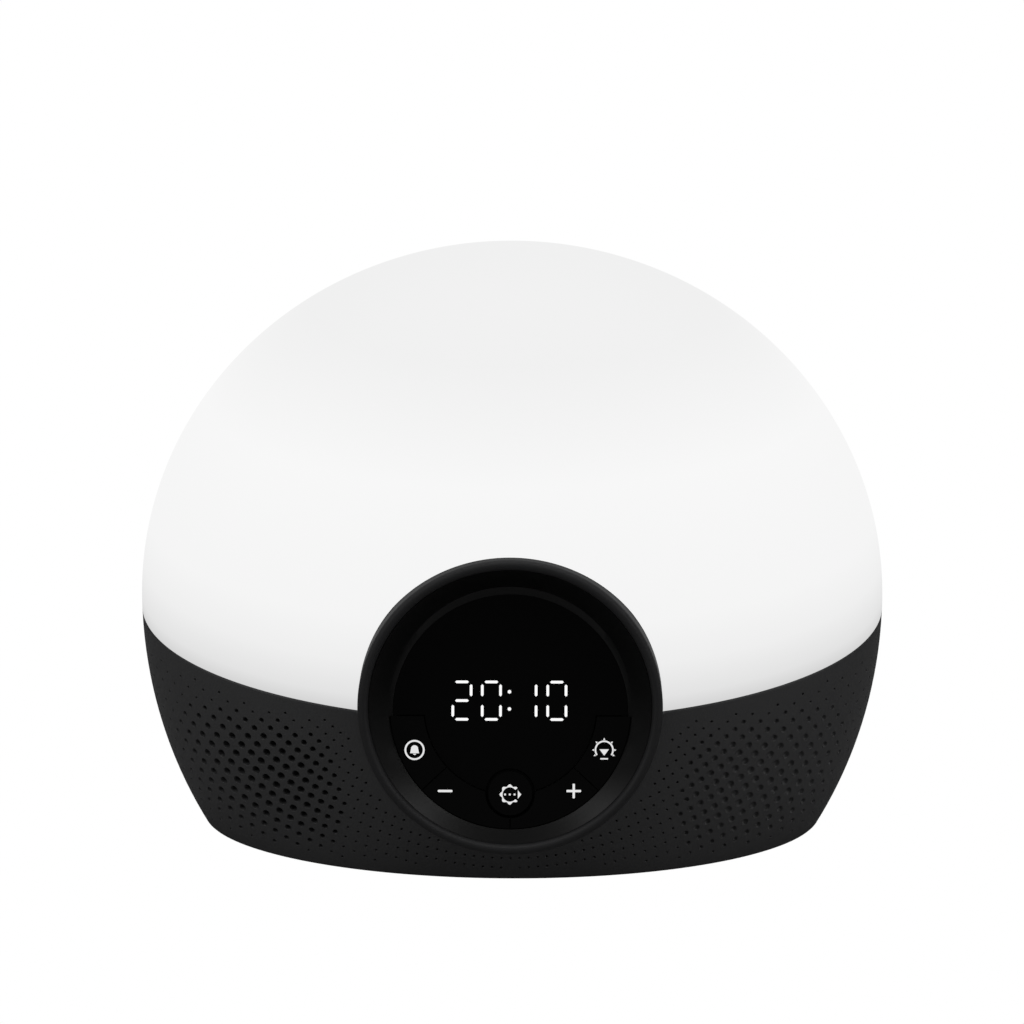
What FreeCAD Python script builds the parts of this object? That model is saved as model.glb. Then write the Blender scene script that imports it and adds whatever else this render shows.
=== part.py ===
import FreeCAD, Part
import math
import os

# Sunrise alarm clock: an egg-shaped light dome on a perforated base, with a round display pod in front.
# Units are millimetres. +Z is up, -Y is the front, and the origin is the bottom centre of the whole object.

os.makedirs("parts", exist_ok=True)
V = FreeCAD.Vector

# Sizes of the body.
half_width = 105.0          # widest half width of the egg
half_depth = 58.0           # widest half depth
belly_z = 67.0              # height of the widest ring
rise_above = 103.5          # from the belly up to the crown
drop_below = 121.0          # lower semi axis, cut flat near the table
base_z = 0.8                # lower edge of the base housing above the table
seam_z = 66.0               # seam height on the body axis
seam_tilt = 14.2            # degrees, lower at the front
base_wall = 2.4
dome_wall = 2.6
smooth_step = 8.25          # degrees between the ovals of the outside
smooth_sides = 48           # flat sides of each oval
hidden_step = 11.25         # the same for hidden faces
hidden_sides = 28
turned_sides = 20           # flat sides of small turned pieces
boss_sides = 10             # flat sides of screw bosses
head_sides = 10             # flat sides of screw heads
hole_sides = 8              # sides of small holes and of the perforation
part_gap = 0.3              # air between neighbours that don't touch

# Sizes of the display pod.
lip_forward = 61.0          # lip centre in front of the body axis
lip_z = 56.0
lip_tilt = 5.0              # degrees, leaning back
lip_r = 41.5                # outer radius of the pod
lip_band = 2.9              # width of the rounded lip
lip_step = 4.0              # the rim of the inner part seats this far below the lip
seat_gap = 0.15             # air around a bonded rim
bowl_wall = 2.2
drum_wall = 2.2
drum_length = 18.0          # lip to flange
flange_r = 48.0
flange_thick = 2.4
bezel_screw_r = 45.6        # pitch radius of the flange screws
disc_tilt = 18.0            # degrees, the display leans back
disc_back = 10.4            # display centre behind the lip plane
disc_down = 2.45            # and below the lip centre
disc_r = 33.2               # round display field
lens_sink = 1.0             # window sits this far below the keys
lens_thick = 0.9
lens_r = 32.3
lens_down = 1.15            # window circle sits lower than the field circle
key_line = -2.2             # the keys start below this line of the field
shoulder_r = 30.6           # opening behind the window
shoulder_back = 4.4         # rear of the shoulder that carries window and key guide
chamber_r = 34.5            # inside of the display chamber
chamber_wall = 2.2
chamber_back = 12.2

# Keys.
key_thick = 2.0
key_inner_r = 23.8
key_gap = 0.3
key_travel = 0.5
menu_r = 6.5
menu_at = 23.3              # menu key centre below the display centre
split_angle = 47.1          # degrees from straight down to the split between outer and inner keys
plunger_r = 1.5
plunger_at = 28.0           # radius of the plungers from the display centre
guide_thick = 1.0
board_front = 10.1          # display board behind the display plane
board_thick = 1.6
switch_side = 6.0
switch_tall = 3.0

# Light engine.
rim_tall = 3.0              # tongue of the base inside the dome
rim_outer = dome_wall + part_gap
rim_inner = 4.5
tray_thick = 1.8
hood_r = 51.0
hood_wall = 2.0
hood_back = 36.0            # rear of the hood behind the lip plane
spreader = (118.0, 50.0, 1.5)
led_board_size = (108.0, 42.0, 1.6)
led_grid = (8, 3)
led_size = (3.5, 2.8, 0.8)
light_y = 9.0               # centre of the light board behind the body axis, along the seam plane

# Loudspeaker, behind the left side of the base.
speaker_x = -68.0
speaker_z = 29.0
speaker_r = 22.0            # flange radius
speaker_seat = 7.0          # depth of the collar's rear face below the outside
gasket_thick = 0.5
surround_r = 17.6
speaker_screw_r = 20.3
cone_edge_r = 14.6
coil_r = 6.5
cone_throw = 0.8
magnet_r = 15.0
magnet_thick = 6.5

# Perforation: a grid of confocal curves around the pod.
grid_focus_z = 54.0
grid_squeeze = 0.9
grid_row = 3.3              # row pitch 50 mm from the focus
grid_column = 2.7           # column pitch there
hole_field_r = 15.0         # through holes lie this close to the speaker axis
hole_small_r = 0.55
hole_large_r = 1.3
hole_spread = 26.0          # distance over which the holes shrink

# Bottom and rear.
cover_thick = 2.4
cover_z = 1.0
foot_r = 7.0
foot_inset = (51.0, 32.0)   # from the widest points of the egg
foot_pocket = 0.9
cover_screw_inset = (32.0, 40.0)
socket_r = 1.3              # hexagon sockets of the cover screws
jack_z = 15.0
pocket_r = 7.5
pocket_depth = 6.5
jack_bore_r = 2.85
jack_pin_r = 1.05
root_r = 1.2                # across the corners of the pin's square root, pressed into the block
root_stand = 0.3            # the root stands this far out of the bore's floor
jack_block = 11.0

# Main board.
main_size = (84.0, 46.0, 1.6)
main_at = (2.0, 1.0)
standoff_tall = 4.0
connector = (9.0, 5.0, 4.6)
ribbon = (12.0, 0.4)
lead_r = 0.7

# The pod reaches further forward than the body reaches back, so the body sits behind the origin.
lip_edge = lip_band / 2.0
front_reach = (lip_forward - lip_edge * math.cos(math.radians(lip_tilt))
               + (lip_r - lip_edge) * math.sin(math.radians(lip_tilt)) + lip_edge)
body_y = (front_reach - half_depth) / 2.0


foot_at = (half_width - foot_inset[0], half_depth - foot_inset[1])
cover_screw_at = (half_width - cover_screw_inset[0], half_depth - cover_screw_inset[1])


def frame(base, move=(0, 0, 0), turn_x=0.0):
    """A frame moved within another one and then turned about its own X axis."""
    turn = FreeCAD.Rotation(V(1, 0, 0), turn_x)
    return base.multiply(FreeCAD.Placement(V(*move), turn))


BODY = FreeCAD.Placement(V(0, body_y, 0), FreeCAD.Rotation())
LIP = frame(BODY, (0, -lip_forward, lip_z), 90.0 - lip_tilt)
DISC = frame(LIP, (0, -disc_down, -disc_back), lip_tilt - disc_tilt)
SEAM = frame(BODY, (0, 0, seam_z), seam_tilt)


def placed(shape, place):
    """A copy of a shape built at the origin, carried into a frame."""
    out = shape.copy()
    out.Placement = place.multiply(out.Placement)
    return out


def rod(place, radius, low, high, x=0.0, y=0.0):
    """Cylinder along the frame's Z axis from low to high."""
    return placed(Part.makeCylinder(radius, high - low, V(x, y, low)), place)


def tube(place, outer, inner, low, high, x=0.0, y=0.0):
    """Hollow cylinder along the frame's Z axis."""
    return rod(place, outer, low, high, x, y).cut(rod(place, inner, low - 1, high + 1, x, y))


def block(place, size, centre, low):
    """Box centred on a point of the frame's XY plane, standing on height low."""
    corner = V(centre[0] - size[0] / 2.0, centre[1] - size[1] / 2.0, low)
    return placed(Part.makeBox(size[0], size[1], size[2], corner), place)


def soft_block(place, size, centre, low, bevel):
    """Box with bevelled upright edges."""
    x, y = size[0] / 2.0, size[1] / 2.0
    outline = [(x, y - bevel), (x - bevel, y), (bevel - x, y), (-x, y - bevel),
               (-x, bevel - y), (bevel - x, -y), (x - bevel, -y), (x, bevel - y)]
    points = [V(centre[0] + px, centre[1] + py, low) for px, py in outline]
    return placed(Part.Face(Part.makePolygon(points + points[:1])).extrude(V(0, 0, size[2])), place)


def prism(place, radius, sides, low, high, x=0.0, y=0.0):
    """Flat-sided rod along the frame's Z axis."""
    turns = [2.0 * math.pi * i / sides for i in range(sides)]
    points = [V(x + radius * math.cos(t), y + radius * math.sin(t), low) for t in turns]
    return placed(Part.Face(Part.makePolygon(points + points[:1])).extrude(V(0, 0, high - low)), place)


def hole(place, radius, low, high, x=0.0, y=0.0):
    """Cutter for a small hole."""
    return prism(place, radius, hole_sides, low, high, x, y)


def join(shapes):
    """All shapes fused to one."""
    return shapes[0].multiFuse(shapes[1:]) if len(shapes) > 1 else shapes[0]


def save(name, shapes):
    """Writes one piece, or a group of equal pieces, as its own file."""
    shapes = shapes if isinstance(shapes, list) else [shapes]
    solids = [s for shape in shapes for s in shape.Solids]
    out = solids[0] if len(solids) == 1 else Part.makeCompound(solids)
    out.exportStep("parts/" + name + ".step")
    return out


def spin(profile, place):
    """Closed outline of (radius, height) points turned about the frame's Z axis."""
    points = [V(r, 0, z) for r, z in profile]
    face = Part.Face(Part.makePolygon(points + points[:1]))
    return placed(face.revolve(V(0, 0, 0), V(0, 0, 1), 360), place)


def spin_flat(profile, place, sides=turned_sides):
    """The same with flat sides, for round pieces inside the body."""
    turns = [2.0 * math.pi * i / sides for i in range(sides + 1)]
    faces = []
    for (r0, z0), (r1, z1) in zip(profile, profile[1:] + profile[:1]):
        if r0 == 0 and r1 == 0:
            continue
        for t, u in zip(turns, turns[1:]):
            outline = [(r0, z0, t), (r1, z1, t)]
            outline += [(r1, z1, u)] if r1 > 0 else []
            outline += [(r0, z0, u)] if r0 > 0 else []
            faces.append(flat_face([V(r * math.cos(a), r * math.sin(a), z) for r, z, a in outline]))
    return placed(sewn(faces), place)


def washer(place, outer, inner, low, high):
    """Flat-sided ring along the frame's Z axis."""
    return spin_flat([(inner, low), (outer, low), (outer, high), (inner, high)], place)


def ring_points(count, radius, start=0.0):
    """Points spread evenly on a circle."""
    turns = [math.radians(start + 360.0 * i / count) for i in range(count)]
    return [(radius * math.cos(t), radius * math.sin(t)) for t in turns]


def corners(x, y):
    """The four mirrored points of a rectangle."""
    return [(sx * x, sy * y) for sx in (-1, 1) for sy in (-1, 1)]


def sewn(faces):
    """A closed solid from the flat faces that bound it."""
    shell = Part.makeShell(faces)
    shell.sewShape()
    solid = Part.makeSolid(shell)
    if solid.Volume < 0:
        solid.reverse()
    return solid


def flat_face(points):
    """Flat face with straight edges through points."""
    return Part.Face(Part.makePolygon(points + points[:1]))


def egg(inset, low, smooth=False):
    """The body's outer form, everywhere smaller by inset, cut flat at height low.

    It is a stack of level ovals with flat sides. Hidden faces have fewer sides and steps."""
    a, b = half_width - inset, half_depth - inset
    up, down = rise_above - inset, drop_below - inset
    sides = smooth_sides if smooth else hidden_sides
    step = math.radians(smooth_step if smooth else hidden_step)
    lowest = math.asin((belly_z - low) / down)
    turns = [-lowest]
    turns += [-i * step for i in range(int(lowest / step - 0.2), -1, -1)]
    turns += [i * step for i in range(1, int(math.pi / 2.0 / step + 0.5))]
    around = [2.0 * math.pi * (i + (0.0 if smooth else 0.5)) / sides for i in range(sides)]
    ovals = []
    for turn in turns:
        height = belly_z + (up if turn > 0 else down) * math.sin(turn)
        shrink = math.cos(turn)
        ovals.append([V(a * shrink * math.cos(t), b * shrink * math.sin(t), height) for t in around])
    crown = V(0, 0, belly_z + up)
    faces = [flat_face(ovals[0])]
    for lower, upper in zip(ovals, ovals[1:]):
        faces += [flat_face([lower[i - 1], lower[i], upper[i], upper[i - 1]]) for i in range(sides)]
    faces += [flat_face([ovals[-1][i - 1], ovals[-1][i], crown]) for i in range(sides)]
    return placed(sewn(faces), BODY)


def seam_slab(low, high):
    """Slab parallel to the seam plane, wider than the body."""
    return block(SEAM, (400, 400, high - low), (0, 0), low)


def level_slab(low, high):
    """Level slab, wider than the body."""
    return block(BODY, (400, 400, high - low), (0, 0), low)


def wall_frame(turn, height, inset=0.0):
    """Frame on the wall at an angle from the front: Z points out level, X along the wall, Y up."""
    a, b = half_width - inset, half_depth - inset
    down = (drop_below if height < belly_z else rise_above) - inset
    size = math.sqrt(1.0 - ((height - belly_z) / down) ** 2)
    x, y = a * size * math.sin(turn), -b * size * math.cos(turn)
    out = V(x / a ** 2, y / b ** 2, 0)
    out.normalize()
    along = V(-out.y, out.x, 0)
    turned = FreeCAD.Rotation(along, V(0, 0, 1), out, "ZXY")
    return BODY.multiply(FreeCAD.Placement(V(x, y, height), turned))


def seam_height(y):
    """Height of the seam plane at a distance behind the body axis."""
    return seam_z + y * math.tan(math.radians(seam_tilt))


outer = egg(0.0, base_z, smooth=True)
inner_base = egg(base_wall, -4.0)
inner_dome = egg(dome_wall, 20.0)
inside = egg(1.2, base_z)           # ribs and bosses stop inside the wall at this form
below_seam = seam_slab(-200.0, 0.0)
pod_hole = rod(LIP, lip_r + part_gap, -26.0, 40.0)
print("forms ready")

# Light dome: opal polycarbonate blown to an even wall, with six snap pads inside its rim.
snap_turns = [math.radians(t) for t in (62, 90, 118, 242, 270, 298)]


def rim_block(turn, long, near, far, low, high):
    """Block across the rim at an angle: near and far are insets from the outside, low and high above the seam."""
    place = wall_frame(turn, seam_height(-half_depth * math.cos(turn)))
    upright = placed(Part.makeBox(long, 20.0, far - near, V(-long / 2.0, -10.0, -far)), place)
    return upright.common(seam_slab(low, high))


dome = outer.cut(join([below_seam, inner_dome, pod_hole]))
dome = join([dome] + [rim_block(t, 8.0, 1.6, 3.9, 0.9, 2.3) for t in snap_turns])
save("diffuser_dome", dome)
print("dome", dome.isValid(), len(dome.Solids))

# Base housing: dark ABS shell. A band inside its rim carries a tongue that centres the dome and the tray.
shell = outer.cut(join([seam_slab(0.0, 200.0), inner_base]))
band = egg(base_wall - 0.6, base_z).cut(egg(rim_inner, -4.0)).common(seam_slab(-rim_tall, 0.0))
tongue = egg(rim_outer, base_z).cut(egg(rim_inner, -4.0)).common(seam_slab(-1.0, rim_tall))
ledge = egg(base_wall - 0.6, base_z).cut(egg(base_wall + 3.4, -4.0))
ledge = ledge.common(level_slab(cover_z + cover_thick, cover_z + cover_thick + 2.0))

# Bosses for the bezel flange run forward from the flange into the wall.
low_flange = [math.radians(a) for a in (217, 247, 293, 323)]
high_flange = [math.radians(a) for a in (42, 138)]
flange_low_at = [(bezel_screw_r * math.cos(a), bezel_screw_r * math.sin(a)) for a in low_flange]
flange_high_at = [(bezel_screw_r * math.cos(a), bezel_screw_r * math.sin(a)) for a in high_flange]
additions = [prism(LIP, 3.0, boss_sides, -drum_length, 10.0, x, y) for x, y in flange_low_at]

# Bosses for the tray stand under its plate, each tied to the wall by a rib.
tray_turns = [math.radians(t) for t in (76, 104, 256, 284)]


def tray_frame(turn):
    """Seam-plane frame at a tray screw near the wall."""
    reach = (half_width - 8.0) * math.sin(turn), -(half_depth - 8.0) * math.cos(turn)
    return frame(SEAM, (reach[0], reach[1] / math.cos(math.radians(seam_tilt)), 0))


def wall_rib(place, turn, low, high, thick=1.6):
    """Rib from a boss outwards to the wall."""
    rib = Part.makeBox(14.0, thick, high - low, V(0, -thick / 2.0, low))
    rib.rotate(V(0, 0, 0), V(0, 0, 1), math.degrees(turn) - 90.0)
    return placed(rib, place)


for t in tray_turns:
    additions += [prism(tray_frame(t), 3.3, boss_sides, -12.0, rim_tall),
                  wall_rib(tray_frame(t), t, -12.0, -1.0)]

# Bosses for the bottom cover.
for x, y in corners(*cover_screw_at):
    place = frame(BODY, (x, y, 0))
    additions += [prism(place, 3.5, boss_sides, cover_z + cover_thick, 15.0),
                  wall_rib(place, math.atan2(x, -y), cover_z + cover_thick, 12.0)]
print("rim and bosses ready")


def skin_frame(x, z):
    """Frame on the front wall: Z points straight out of the wall, X runs level along it."""
    y = -half_depth * math.sqrt(1.0 - (x / half_width) ** 2 - ((z - belly_z) / drop_below) ** 2)
    out = V(x / half_width ** 2, y / half_depth ** 2, (z - belly_z) / drop_below ** 2)
    out.normalize()
    along = V(-out.y, out.x, 0)
    along.normalize()
    turned = FreeCAD.Rotation(along, V(0, 0, 1), out, "ZXY")
    return BODY.multiply(FreeCAD.Placement(V(x, y, z), turned))


# The loudspeaker sits on a moulded collar square to the wall.
SPEAKER = skin_frame(speaker_x, speaker_z)
collar_in = surround_r + 0.6
additions.append(washer(SPEAKER, speaker_r + 0.5, collar_in, -speaker_seat, 8.0))

# Flat-bottomed pocket for the plug in the rear wall, with a hole for the nose of the inlet.
rear_y = half_depth * math.sqrt(1.0 - ((jack_z - belly_z) / drop_below) ** 2)
pocket_floor = rear_y - pocket_depth
JACK = frame(BODY, (0, pocket_floor, jack_z), -90.0)        # Z points out of the rear
additions.append(prism(JACK, pocket_r + 1.8, turned_sides, -2.0, 12.0))

extra = join([band, tongue.cut(join([rim_block(t, 8.8, 2.0, 6.0, 0.6, 2.6) for t in snap_turns]))])
housing = join([shell, ledge, band] + [a.common(inside) for a in additions])
housing = join([housing, extra])

# Screw holes, the pocket and the perforation.
pilots = [hole(LIP, 1.0, -drum_length - 1, -drum_length + 3.2, x, y) for x, y in flange_low_at]
pilots += [hole(tray_frame(t), 1.1, -8.0, rim_tall + 1) for t in tray_turns]
pilots += [hole(frame(BODY, (x, y, 0)), 1.1, 0.0, 13.0) for x, y in corners(*cover_screw_at)]
pilots += [hole(SPEAKER, 0.9, -speaker_seat - 1, -speaker_seat + 3.5, x, y)
           for x, y in ring_points(4, speaker_screw_r, 45.0)]
nose_r = 5.0
cuts = pilots + [rod(JACK, pocket_r, 0.0, 30.0), rod(JACK, nose_r + 0.15, -3.0, 1.0),
                 rod(LIP, lip_r + part_gap, -drum_length + 0.0, 40.0)]


def arc_length(turn, steps=60):
    """Length along the widest ring from the front to a turn about the body axis, by Simpson's rule."""
    def rate(t):
        return math.hypot(half_width * math.cos(t), half_depth * math.sin(t))
    h = turn / steps
    inner = sum((4 if i % 2 else 2) * rate(i * h) for i in range(1, steps))
    return h / 3.0 * (rate(0.0) + inner + rate(turn))


def turn_at(length):
    """The turn that lies a given length along the widest ring from the front."""
    low, high = -math.pi / 2.0, math.pi / 2.0
    for _ in range(40):
        mid = (low + high) / 2.0
        low, high = (mid, high) if arc_length(mid) < length else (low, mid)
    return (low + high) / 2.0


def grid_point(row, column):
    """Length along the wall and height of one place in the perforation grid."""
    stretch = 2.0 * math.sqrt(50.0)
    across = grid_column * column / stretch
    down = grid_row * row / stretch
    return 2.0 * down * across / grid_squeeze, grid_focus_z - (down ** 2 - across ** 2)


def hole_size(distance):
    """Radius of a hole at a distance from the speaker axis: large in the middle, small outside."""
    return hole_small_r + (hole_large_r - hole_small_r) * math.exp(-(distance / hole_spread) ** 2)


holes = []
speaker_inverse = SPEAKER.inverse()
for row in range(18, 48):
    for column in range(-44, 0):
        length, height = grid_point(row, column)
        if not (8.0 < height < 52.0 and -100.0 < length < -40.0):
            continue
        size = math.sqrt(1.0 - ((height - belly_z) / drop_below) ** 2)
        spot = skin_frame(half_width * size * math.sin(turn_at(length)), height)
        local = speaker_inverse.multVec(spot.Base)
        distance = math.hypot(local.x, local.y)
        if distance < hole_field_r:
            holes.append(hole(SPEAKER, hole_size(distance), -9.0, 1.0, local.x, local.y))
print("perforations", len(holes))
housing = housing.cut(Part.makeCompound(cuts)).cut(Part.makeCompound(holes))
save("base_housing", housing)
print("housing", housing.isValid(), len(housing.Solids))

# Acoustic cloth glued inside the perforation.
cloth = egg(base_wall, -4.0).cut(egg(base_wall + 0.4, -6.0))
cloth = cloth.common(prism(SPEAKER, collar_in - 0.3, turned_sides, -12.0, 2.0))
save("grille_cloth", cloth)

# Bottom cover with its screw counterbores, foot pockets and vent slots.
cover_top = cover_z + cover_thick
cover = egg(base_wall + part_gap, cover_z - 0.4).common(level_slab(cover_z, cover_top))
main_holes = corners(main_size[0] / 2.0 - 4.0, main_size[1] / 2.0 - 4.0)
main_holes = [(x + main_at[0], y + main_at[1]) for x, y in main_holes]
cover = join([cover] + [prism(BODY, 3.3, boss_sides, cover_top - 0.5, cover_top + standoff_tall, x, y)
                        for x, y in main_holes])
cover_cuts = []
for x, y in corners(*cover_screw_at):
    cover_cuts += [prism(BODY, 3.3, turned_sides, 0.0, cover_z + 1.2, x, y), hole(BODY, 1.7, 0.0, 5.0, x, y)]
for x, y in corners(*foot_at):
    cover_cuts.append(prism(BODY, foot_r + 0.1, turned_sides, 0.0, cover_z + foot_pocket, x, y))
for x, y in main_holes:
    cover_cuts.append(hole(BODY, 1.1, cover_top + 0.2, 9.0, x, y))
slot_long, slot_wide, slot_pitch = 22.0, 2.0, 5.0
for i in range(9):
    cover_cuts.append(soft_block(BODY, (slot_wide, slot_long, 6.0), ((i - 4) * slot_pitch, -30.0), 0.0, 0.9))
cover = cover.cut(Part.makeCompound(cover_cuts))
save("bottom_cover", cover)
print("cover", cover.isValid(), len(cover.Solids))

# Rubber feet in the pockets of the cover.
foot_top = cover_z + foot_pocket
foot_outline = [(0, 0), (foot_r - 0.5, 0), (foot_r, 0.5), (foot_r, foot_top), (0, foot_top)]
save("rubber_feet", [spin_flat(foot_outline, frame(BODY, (x, y, 0))) for x, y in corners(*foot_at)])


def screw(place, x, y, seat, head_r, head_tall, shank_r, shank_long, up=True):
    """Pan-head screw: its head lies on height seat, its shank points the other way."""
    if up:
        head = (seat, seat + head_tall)
        shank = (seat - shank_long, seat + 0.1)
    else:
        head = (seat - head_tall, seat)
        shank = (seat - 0.1, seat + shank_long)
    body = prism(place, head_r, head_sides, head[0], head[1], x, y)
    return body.fuse(prism(place, shank_r, hole_sides, shank[0], shank[1], x, y))


cover_screws = [screw(BODY, x, y, cover_z + 1.2, 2.8, 1.1, 1.1, 9.0, up=False) for x, y in corners(*cover_screw_at)]
sockets = [prism(BODY, socket_r, 6, 0.0, cover_z + 0.7, x, y) for x, y in corners(*cover_screw_at)]
save("base_screws", [body.cut(socket) for body, socket in zip(cover_screws, sockets)])
save("main_board_screws", [screw(BODY, x, y, cover_top + standoff_tall + main_size[2], 2.4, 1.5, 1.1, 4.5)
                           for x, y in main_holes])

# Light tray: white plate on the tongue, with a hood over the back of the pod.
tray = egg(rim_outer, base_z).common(seam_slab(rim_tall, rim_tall + tray_thick))
tray = tray.cut(rod(LIP, hood_r - 1.0, -hood_back + 1.0, 60.0))
hood = rod(LIP, hood_r, -hood_back, -drum_length - flange_thick)
hood = hood.cut(rod(LIP, hood_r - hood_wall, -hood_back + hood_wall, 0.0))
hood_bosses = [rod(LIP, 3.9, -hood_back + 1.0, -drum_length - flange_thick, x, y) for x, y in flange_high_at]
hood = join([hood] + [b.common(rod(LIP, hood_r - 0.5, -60.0, 0.0)) for b in hood_bosses])
hood = hood.cut(seam_slab(-200.0, rim_tall))
tray = join([tray, hood])
spreader_holes = corners(spreader[0] / 2.0 - 4.0, spreader[1] / 2.0 - 4.0)
tray_cuts = [hole(tray_frame(t), 1.6, 0.0, 9.0) for t in tray_turns]
tray_cuts += [hole(LIP, 1.0, -drum_length - flange_thick - 7.0, -drum_length, x, y) for x, y in flange_high_at]
tray_cuts += [hole(SEAM, 1.0, 0.0, 9.0, x, y + light_y) for x, y in spreader_holes]
lead_gate = (50.0, light_y + spreader[1] / 2.0 + 6.0)
tray_cuts.append(soft_block(SEAM, (12.0, 6.0, 9.0), lead_gate, 0.0, 2.0))
tray = tray.cut(Part.makeCompound(tray_cuts))
save("light_tray", tray)
print("tray", tray.isValid(), len(tray.Solids))
tray_top = rim_tall + tray_thick
save("tray_screws", [screw(tray_frame(t), 0, 0, tray_top, 2.8, 1.6, 1.1, 8.0) for t in tray_turns])

# Heat spreader, LED board and emitters on the tray.
plate = soft_block(SEAM, spreader, (0, light_y), tray_top, 3.0)
plate = plate.cut(Part.makeCompound([hole(SEAM, 1.5, tray_top - 1, 20.0, x, y + light_y) for x, y in spreader_holes]))
save("heat_spreader", plate)
board_low = tray_top + spreader[2]
save("led_board", soft_block(SEAM, led_board_size, (0, light_y), board_low, 2.0).cut(
    Part.makeCompound([soft_block(SEAM, (9.0, 9.0, 9.0), (x, y + light_y), board_low - 1, 1.5)
                       for x, y in spreader_holes])))
board_top = board_low + led_board_size[2]
step_x = (led_board_size[0] - 20.0) / (led_grid[0] - 1)
step_y = (led_board_size[1] - 16.0) / (led_grid[1] - 1)
spots = [((i - (led_grid[0] - 1) / 2.0) * step_x, (j - (led_grid[1] - 1) / 2.0) * step_y + light_y)
         for i in range(led_grid[0]) for j in range(led_grid[1])]
save("led_emitters", [block(SEAM, led_size, spot, board_top) for spot in spots])
save("led_board_screws", [screw(SEAM, x, y + light_y, board_low, 2.4, 1.4, 0.95, 4.5) for x, y in spreader_holes])
print("light engine ready")

# Display pod, outer part: a trim ring with a rounded lip, a drum through the wall and a screw flange.
lip_in_r = lip_r - lip_band
drum_in_r = lip_r - drum_wall
flange_rear = -drum_length - flange_thick
ring_outline = [(lip_in_r, -lip_edge), (lip_in_r, -lip_step), (drum_in_r, -lip_step), (drum_in_r, flange_rear),
                (flange_r, flange_rear), (flange_r, -drum_length), (lip_r, -drum_length), (lip_r, -lip_edge)]
for i in range(1, 5):
    t = math.pi * i / 5.0
    ring_outline.append((lip_r - lip_edge + lip_edge * math.cos(t), -lip_edge + lip_edge * math.sin(t)))
pod_ring = spin_flat(ring_outline, LIP, smooth_sides)
flange_holes = [hole(LIP, 1.5, flange_rear - 1, -drum_length + 0.5, x, y) for x, y in flange_low_at + flange_high_at]
pod_ring = pod_ring.cut(Part.makeCompound(flange_holes))
save("pod_ring", pod_ring)
print("ring", pod_ring.isValid(), len(pod_ring.Solids))


def funnel(top, low):
    """Solid between two round outlines, each given as (frame, radius, height, y), with flat triangles."""
    rings = []
    for place, radius, height, y in (low, top):
        turns = [2.0 * math.pi * i / smooth_sides for i in range(smooth_sides)]
        rings.append([place.multVec(V(radius * math.cos(t), y + radius * math.sin(t), height)) for t in turns])
    faces = [flat_face(rings[0]), flat_face(rings[1])]
    for i in range(smooth_sides):
        faces.append(flat_face([rings[0][i - 1], rings[0][i], rings[1][i]]))
        faces.append(flat_face([rings[0][i - 1], rings[1][i], rings[1][i - 1]]))
    return sewn(faces)


# Display pod, inner part: a bowl down to the display field, with the display chamber behind it. Its rim is
# bonded under the step of the trim ring.
upper_half = placed(Part.makeBox(100, 60, 40, V(-50, key_line, -lens_sink)), DISC)
lower_half = placed(Part.makeBox(100, 60, 40, V(-50, key_line - 60, -20)), DISC)
lens_back = lens_sink + lens_thick
key_floor = key_thick + key_travel + 0.3
bezel = join([funnel((LIP, lip_in_r + 2.0, -2.8, 0.0), (DISC, disc_r + bowl_wall, -1.8, 0.0)),
              prism(DISC, chamber_r + chamber_wall, hidden_sides, -chamber_back, -1.6)])
in_ring = join([prism(LIP, lip_in_r - seat_gap, smooth_sides, -lip_step - 0.5, 5.0),
                prism(LIP, drum_in_r - seat_gap, smooth_sides, -60.0, -lip_step)])
bezel = bezel.common(in_ring)
bezel_cuts = [funnel((LIP, lip_in_r, -lip_edge, 0.0), (DISC, disc_r, 0.0, 0.0)),
              funnel((DISC, disc_r, 0.0, 0.0), (DISC, lens_r, -lens_sink, -lens_down)).common(upper_half),
              prism(DISC, lens_r, smooth_sides, -lens_back, -lens_sink, 0, -lens_down),
              prism(DISC, disc_r, smooth_sides, -key_floor, 0.0).common(lower_half),
              prism(DISC, shoulder_r, smooth_sides, -shoulder_back - 1, 0.0),
              prism(DISC, chamber_r, hidden_sides, -chamber_back - 30.0, -shoulder_back)]
for cut in bezel_cuts:
    bezel = bezel.cut(cut)

# Four posts inside the chamber carry the display board.
post_at = [(32.0 * math.cos(math.radians(a)), 32.0 * math.sin(math.radians(a))) for a in (28, 152, 222.9, 317.1)]
in_chamber = prism(DISC, chamber_r + 0.8, hidden_sides, -board_front, -shoulder_back + 0.6)
posts = [prism(DISC, 2.5, boss_sides, -board_front, -shoulder_back + 0.6, x, y).common(in_chamber)
         for x, y in post_at]
posts = [p.cut(hole(DISC, 0.95, -board_front - 1, -shoulder_back - 0.8, x, y)) for p, (x, y) in zip(posts, post_at)]
bezel = join([bezel] + posts)
save("display_bezel", bezel)
print("bezel", bezel.isValid(), len(bezel.Solids))
save("bezel_screws", [screw(LIP, x, y, flange_rear, 2.4, 1.5, 0.95, 5.3, up=False) for x, y in flange_low_at]
     + [screw(LIP, x, y, -drum_length, 2.4, 1.5, 0.95, 8.0) for x, y in flange_high_at])

# Window: glossy dark acrylic bonded into its rebate from the front.
upper_field = placed(Part.makeBox(100, 60, 40, V(-50, key_line + key_gap, -20)), DISC)
window = prism(DISC, lens_r - 0.1, smooth_sides, -lens_back, -lens_sink, 0, -lens_down).common(upper_field)
window = window.fuse(prism(DISC, key_inner_r - key_gap, smooth_sides, -lens_back, -lens_sink))
window = window.cut(prism(DISC, menu_r + key_gap, smooth_sides, -10.0, 10.0, 0, -menu_at))
save("display_lens", window)
print("window", window.isValid(), len(window.Solids))

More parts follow.
